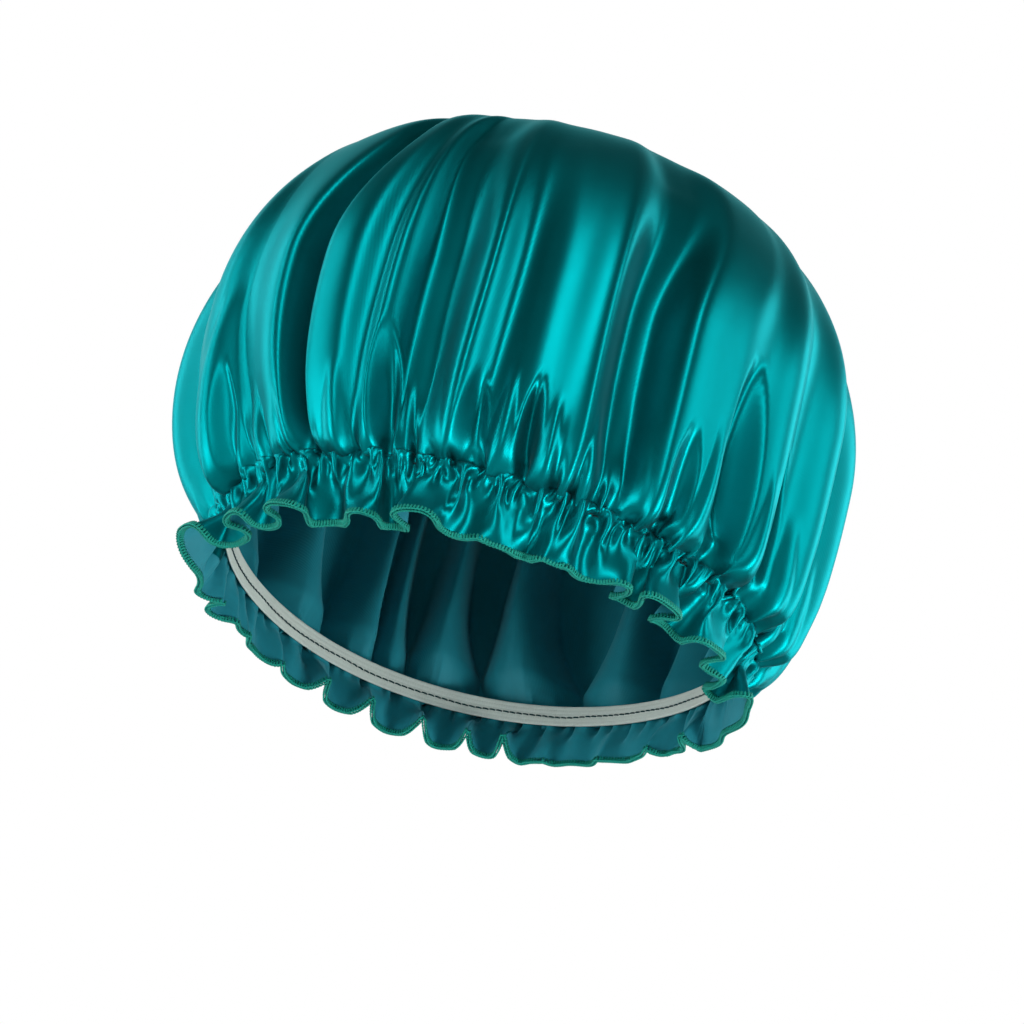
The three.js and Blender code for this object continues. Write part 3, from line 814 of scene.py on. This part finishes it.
def stitch_row(name, radius_at, into, height, seed):
    """A row of lockstitches: each lies on its ground and dips into it at both ends."""
    count = int(2 * math.pi * HEAD_RADIUS / STITCH_LENGTH)
    turn = np.arange(count * STEPS_PER_STITCH) / (count * STEPS_PER_STITCH)
    azimuth = turn * 2 * math.pi
    phase = turn * count % 1
    lie = np.sin(math.pi * phase) ** STITCH_ROUNDNESS
    dice = np.random.default_rng(seed)
    wander = ring_noise(dice, turn, WANDER_WAVES) * STITCH_WANDER
    slant = (phase - 0.5) * STITCH_SLANT
    radius = radius_at(azimuth) - into * (1 - lie) * THREAD * STITCH_DIP
    path = around(azimuth, radius, height + wander + slant) + [CROWN_SHIFT, 0, 0]
    return tube(name, path, THREAD / 2)


def ring_noise(dice, turn, count):
    """A smooth random wave round a ring, between about -1 and 1."""
    values = dice.uniform(-1, 1, count)
    place = turn * count
    low = np.floor(place).astype(int) % count
    return lerp(values[low], values[(low + 1) % count], smooth(place % 1))


def needle_stitches():
    """Outside, each stitch pulls the gathers down to the elastic."""
    return stitch_row(
        "needle_stitches", lambda azimuth: seam_radius(azimuth) + NEEDLE_STAND, 1, SEAM_HEIGHT, 21
    )


def bobbin_stitches():
    """Inside, the row runs a little below the middle of the elastic."""
    return stitch_row(
        "bobbin_stitches",
        lambda azimuth: band_radius(azimuth) - lap_step_in(azimuth) - THREAD * BOBBIN_SINK,
        -1,
        SEAM_HEIGHT + STITCH_OFFSET,
        22,
    )


def lap_zigzag():
    """The zigzag that holds the elastic's two ends together, above the bobbin stitches."""
    lap = BAND_LAP / HEAD_RADIUS
    path = []
    for turn in range(ZIGZAG_TURNS + 1):
        along = ZIGZAG_START + ZIGZAG_LENGTH * turn / ZIGZAG_TURNS
        azimuth = math.radians(LAP_AZIMUTH) + lap * along
        height = SEAM_HEIGHT + ZIGZAG_HEIGHTS[turn % 2]
        radius = band_radius(azimuth) - LAP_STEP - THREAD * ZIGZAG_SINK
        path.append(around(azimuth, radius, height) + [CROWN_SHIFT, 0, 0])
    path = np.array(path)
    fine = np.linspace(0, ZIGZAG_TURNS, ZIGZAG_TURNS * STEPS_PER_STITCH + 1)
    low = np.minimum(fine.astype(int), ZIGZAG_TURNS - 1)
    path = lerp(path[low], path[low + 1], (fine - low)[:, None])
    return tube("lap_zigzag_stitches", path, THREAD / 2, closed=False)


# The overlocked edge

OVERLOCK_PITCH = 1.15
OVERLOCK_THREAD = 0.7
OVERLOCK_DEPTH = 2.1
OVERLOCK_ROWS = 3
OVERLOCK_LEAN = 0.35
OVERLOCK_STAND = 0.35
OVERLOCK_LIFT = 0.12
OVERLOCK_WRAP = 0.12
LEAST_REACH = 0.5
MOST_REACH = 1.2
STEPS_PER_LOOP = 8


def along_ring(line, places):
    """Points on a closed line at places counted in its own points."""
    low = np.floor(places).astype(int) % len(line)
    return lerp(line[low], line[(low + 1) % len(line)], (places % 1)[:, None])


def overlock(grid):
    """The threads over the cut edge: one row of slanted loops on each face of the cloth."""
    hem = grid[0]
    upper = grid[OVERLOCK_ROWS]
    facing = outward(grid[: OVERLOCK_ROWS + 1])
    length = np.linalg.norm(np.roll(hem, -1, axis=0) - hem, axis=1)
    run = np.concatenate([[0], np.cumsum(length)])
    loops = int(run[-1] / OVERLOCK_PITCH)
    pieces = []
    for side, offset in ((1, OVERLOCK_LIFT), (-1, -SATIN_THICKNESS - OVERLOCK_LIFT)):
        pieces.append(overlock_loops(hem, upper, facing, run, loops, side, offset))
    return pieces


def overlock_loops(hem, upper, facing, run, loops, side, offset):
    """One thread that goes round the hem in loops, from the edge in towards the upper line."""
    phase = np.arange(loops * STEPS_PER_LOOP) / STEPS_PER_LOOP
    inside = phase % 1
    zig = 0.5 - 0.5 * np.cos(2 * math.pi * inside)
    lean = OVERLOCK_LEAN * np.sin(2 * math.pi * inside)
    distance = (phase + lean) / loops * run[-1]
    places = np.interp(np.mod(distance, run[-1]), run, np.arange(len(run)))
    foot = along_ring(hem, places)
    top = along_ring(upper, places)
    reach = OVERLOCK_DEPTH / np.maximum(np.linalg.norm(top - foot, axis=1), LEAST_REACH)
    normal = unit(along_ring(facing[0], places))
    bulge = OVERLOCK_STAND + OVERLOCK_STAND * np.sin(math.pi * inside)
    stand = offset + side * OVERLOCK_THREAD * bulge
    shift = np.clip(zig * reach, 0, MOST_REACH) - OVERLOCK_WRAP
    path = lerp(foot, top, shift[:, None]) + normal * stand[:, None]
    path[:, 2] = np.maximum(path[:, 2], OVERLOCK_THREAD / 2)
    name = "overlock_outer" if side > 0 else "overlock_inner"
    return tube(name, path, OVERLOCK_THREAD / 2, sides=5)


# Materials

SATIN_COLOUR = (0.0, 0.24, 0.26, 1)
SATIN_BACK_COLOUR = (0.01, 0.27, 0.34, 1)
ELASTIC_COLOUR = (0.68, 0.77, 0.71, 1)
THREAD_COLOUR = (0.002, 0.04, 0.045, 1)
OVERLOCK_COLOUR = (0.0, 0.33, 0.25, 1)
TWILL_PITCH = 0.001


def node(material, kind, **inputs):
    made = material.node_tree.nodes.new(kind)
    for name, value in inputs.items():
        made.inputs[name.replace("_", " ")].default_value = value
    return made


def link(material, start, end):
    material.node_tree.links.new(start, end)


def new_material(name, roughness, metallic=0.0):
    material = bpy.data.materials.new(name)
    material.use_nodes = True
    shader = material.node_tree.nodes["Principled BSDF"]
    shader.inputs["Roughness"].default_value = roughness
    shader.inputs["Metallic"].default_value = metallic
    return material, shader


def mottled(material, colour, scale, darkest, coordinates):
    """The colour, with a soft unevenness from a noise."""
    noise = node(material, "ShaderNodeTexNoise", Scale=scale, Detail=3.0)
    link(material, coordinates, noise.inputs["Vector"])
    ramp = material.node_tree.nodes.new("ShaderNodeMix")
    ramp.data_type = "RGBA"
    ramp.inputs["A"].default_value = [channel * darkest for channel in colour[:3]] + [1]
    ramp.inputs["B"].default_value = colour
    link(material, noise.outputs["Fac"], ramp.inputs["Factor"])
    return ramp.outputs["Result"]


def twill(material, coordinates, pitch, strength, distance):
    """Fine diagonal lines of a twill weave, as bump."""
    turned = node(material, "ShaderNodeMapping", Rotation=(0, 0, math.radians(28)))
    link(material, coordinates, turned.inputs["Vector"])
    lines = node(material, "ShaderNodeTexWave", Scale=2 * math.pi / 20 / pitch, Distortion=0.6)
    link(material, turned.outputs["Vector"], lines.inputs["Vector"])
    bump = node(material, "ShaderNodeBump", Strength=strength, Distance=distance)
    link(material, lines.outputs["Fac"], bump.inputs["Height"])
    return bump.outputs["Normal"]


def satin_material():
    """The glossy face: long floats that throw long soft highlights."""
    material, shader = new_material("satin", 0.38, 0.9)
    shader.inputs["Anisotropic"].default_value = 0.4
    shader.inputs["Anisotropic Rotation"].default_value = 0.25
    shader.inputs["Specular IOR Level"].default_value = 0.35
    shader.inputs["Specular Tint"].default_value = (0.05, 0.8, 0.85, 1)
    shader.inputs["Sheen Weight"].default_value = 0.06
    shader.inputs["Sheen Roughness"].default_value = 0.35
    shader.inputs["Sheen Tint"].default_value = (0.55, 0.9, 0.9, 1)
    flat = material.node_tree.nodes.new("ShaderNodeUVMap")
    flat.uv_map = "flat"
    colour = mottled(material, SATIN_COLOUR, 90.0, 0.86, flat.outputs["UV"])
    link(material, colour, shader.inputs["Base Color"])
    bump = twill(material, flat.outputs["UV"], TWILL_PITCH, 0.07, 0.0001)
    link(material, bump, shader.inputs["Normal"])
    tangent = material.node_tree.nodes.new("ShaderNodeTangent")
    tangent.direction_type = "UV_MAP"
    tangent.uv_map = "flat"
    link(material, tangent.outputs["Tangent"], shader.inputs["Tangent"])
    return material


def satin_back_material():
    """The matt back, where the short floats show."""
    material, shader = new_material("satin_back", 0.62)
    shader.inputs["Specular IOR Level"].default_value = 0.3
    shader.inputs["Sheen Weight"].default_value = 0.25
    shader.inputs["Sheen Tint"].default_value = (0.3, 0.75, 0.85, 1)
    flat = material.node_tree.nodes.new("ShaderNodeUVMap")
    flat.uv_map = "flat"
    colour = mottled(material, SATIN_BACK_COLOUR, 160.0, 0.82, flat.outputs["UV"])
    link(material, colour, shader.inputs["Base Color"])
    bump = twill(material, flat.outputs["UV"], TWILL_PITCH, 0.3, 0.0001)
    link(material, bump, shader.inputs["Normal"])
    return material


def fibre_material(name, colour, roughness, scale, darkest, strength):
    """Matt fibres: an uneven colour and a fine rough bump."""
    material, shader = new_material(name, roughness)
    shader.inputs["Specular IOR Level"].default_value = 0.25
    shader.inputs["Sheen Weight"].default_value = 0.03
    place = material.node_tree.nodes.new("ShaderNodeTexCoord").outputs["Object"]
    link(material, mottled(material, colour, scale, darkest, place), shader.inputs["Base Color"])
    fibres = node(material, "ShaderNodeTexNoise", Scale=scale * 3, Detail=4.0)
    link(material, place, fibres.inputs["Vector"])
    bump = node(material, "ShaderNodeBump", Strength=strength, Distance=0.0002)
    link(material, fibres.outputs["Fac"], bump.inputs["Height"])
    link(material, bump.outputs["Normal"], shader.inputs["Normal"])
    return material


# Camera, lamps and stage

# Each lamp's name, azimuth and elevation, and then its distance, width and height in metres and
# its power in watts
LAMPS = [
    ["left_rim", 156, 4, 1.3, 0.3, 1.6, 8],
    ["left_strip", -169, 2, 1.3, 0.3, 1.6, 8],
    ["main_strip", -98, 12, 1.3, 0.28, 1.7, 9.5],
    ["second_strip", -32, 8, 1.3, 0.4, 1.5, 8],
    ["right_strip", 20, 10, 1.3, 0.7, 1.6, 15],
    ["left_cavity_lamp", -152, -32, 1.2, 0.4, 0.4, 4],
    ["right_cavity_lamp", -30, -32, 1.2, 0.4, 0.4, 6.5],
]
LAMP_AIM = (0, 0, 0.1)
ROOM_COLOUR = (0.015, 0.016, 0.016, 1)
BACKDROP_COLOUR = (1, 1, 1, 1)
BACKDROP_START = 0.3
BACKDROP_END = 0.78
FLOOR_HALF = 8000

# The camera's distance, pan and tilt are in millimetres, its angles in degrees
CAMERA_ELEVATION = -26.4
CAMERA_ROLL = 15.2
CAMERA_DISTANCE = 1200
CAMERA_LENS = 116.26
CAMERA_PAN = -5.58
CAMERA_TILT = -33.24
FOCUS_HEIGHT = 95.65
FLOOR_DROP = 0.95


def place_camera():
    """Below the bonnet and in front of it, rolled as in the photograph."""
    pitch = math.radians(-CAMERA_ELEVATION)
    roll = math.radians(CAMERA_ROLL)
    ahead = Vector((0, math.cos(pitch), math.sin(pitch)))
    level = Vector((1, 0, 0))
    upright = Vector((0, -math.sin(pitch), math.cos(pitch)))
    right = math.cos(roll) * level + math.sin(roll) * upright
    above = -math.sin(roll) * level + math.cos(roll) * upright
    focus = Vector((CROWN_SHIFT, 0, FOCUS_HEIGHT)) + CAMERA_PAN * right + CAMERA_TILT * above
    spot = (focus - CAMERA_DISTANCE * ahead) * MM
    camera = bpy.data.objects.new("camera", bpy.data.cameras.new("camera"))
    camera.data.lens = CAMERA_LENS
    camera.data.sensor_width = 36
    camera.matrix_world = Matrix(
        (
            (right.x, above.x, -ahead.x, spot.x),
            (right.y, above.y, -ahead.y, spot.y),
            (right.z, above.z, -ahead.z, spot.z),
            (0, 0, 0, 1),
        )
    )
    bpy.context.scene.collection.objects.link(camera)
    bpy.context.scene.camera = camera


def softbox(name, azimuth, elevation, distance, width, height, watts):
    """A soft lamp aimed at the bonnet."""
    turn, rise = math.radians(azimuth), math.radians(elevation)
    direction = Vector(
        (math.cos(rise) * math.cos(turn), math.cos(rise) * math.sin(turn), math.sin(rise))
    )
    lamp = bpy.data.lights.new(name, "AREA")
    lamp.shape = "RECTANGLE"
    lamp.size = width
    lamp.size_y = height
    lamp.energy = watts
    holder = bpy.data.objects.new(name, lamp)
    holder.location = Vector(LAMP_AIM) + direction * distance
    holder.rotation_euler = direction.to_track_quat("Z", "Y").to_euler()
    bpy.context.scene.collection.objects.link(holder)


def place_lamps():
    """Tall strips whose light runs down the folds, and two low lamps that reach the inside."""
    for lamp in LAMPS:
        softbox(*lamp)


def light_world():
    """White behind the bonnet, fading to a dim grey room behind the camera."""
    world = bpy.data.worlds.new("world")
    bpy.context.scene.world = world
    world.use_nodes = True
    nodes, links = world.node_tree.nodes, world.node_tree.links
    background = nodes["Background"]
    place = nodes.new("ShaderNodeTexCoord")
    split = nodes.new("ShaderNodeSeparateXYZ")
    links.new(place.outputs["Generated"], split.inputs["Vector"])
    reach = nodes.new("ShaderNodeMapRange")
    reach.interpolation_type = "SMOOTHSTEP"
    reach.inputs["From Min"].default_value = BACKDROP_START
    reach.inputs["From Max"].default_value = BACKDROP_END
    links.new(split.outputs["Y"], reach.inputs["Value"])
    blend = nodes.new("ShaderNodeMix")
    blend.data_type = "RGBA"
    blend.inputs["A"].default_value = ROOM_COLOUR
    blend.inputs["B"].default_value = BACKDROP_COLOUR
    links.new(reach.outputs["Result"], blend.inputs["Factor"])
    links.new(blend.outputs["Result"], background.inputs["Color"])


def place_floor():
    """A plain pale floor, below the camera."""
    ways = [(-1, -1), (1, -1), (1, 1), (-1, 1)]
    depth = -FLOOR_DROP / MM
    corners = np.array([(x * FLOOR_HALF, y * FLOOR_HALF, depth) for x, y in ways], dtype=float)
    floor = new_mesh("floor", corners, [(0, 1, 2, 3)], smooth_faces=False)
    material, shader = new_material("floor", 0.9)
    shader.inputs["Base Color"].default_value = (0.5, 0.5, 0.5, 1)
    shader.inputs["Specular IOR Level"].default_value = 0
    floor.data.materials.append(material)


# Putting it together

def finish_piece(piece, slot, nodes, *materials):
    """Gives a piece its materials, hangs it under the root and hides the nodes that it stands for;
    the slot is not used.
    """
    for material in materials:
        piece.data.materials.append(material)
    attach(piece, "root")
    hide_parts(*nodes)


def build():
    grid = cloth_grid()
    satin = satin_material()
    thread = fibre_material("thread", THREAD_COLOUR, 0.7, 900.0, 0.7, 0.4)
    overlock_thread = fibre_material("overlock_thread", OVERLOCK_COLOUR, 0.65, 900.0, 0.6, 0.4)
    webbing = fibre_material("elastic", ELASTIC_COLOUR, 0.85, 1500.0, 0.8, 0.5)

    cloth = satin_cloth(grid)
    looks = [satin, satin_back_material(), satin, satin]
    finish_piece(cloth, "satin", ["satin_crown", "satin_frill"], *looks)
    edges = overlock(grid)
    for edge in edges:
        finish_piece(edge, "overlock", ["overlock_edge"], overlock_thread)
    finish_piece(elastic(), "elastic", ["elastic_band"], webbing)
    finish_piece(needle_stitches(), "thread", ["needle_thread"], thread)
    finish_piece(bobbin_stitches(), "thread", ["bobbin_thread"], thread)
    finish_piece(lap_zigzag(), "thread", ["lap_zigzag_thread"], thread)


build()
place_camera()
place_lamps()
light_world()
place_floor()
bpy.context.scene.view_settings.view_transform = "Standard"
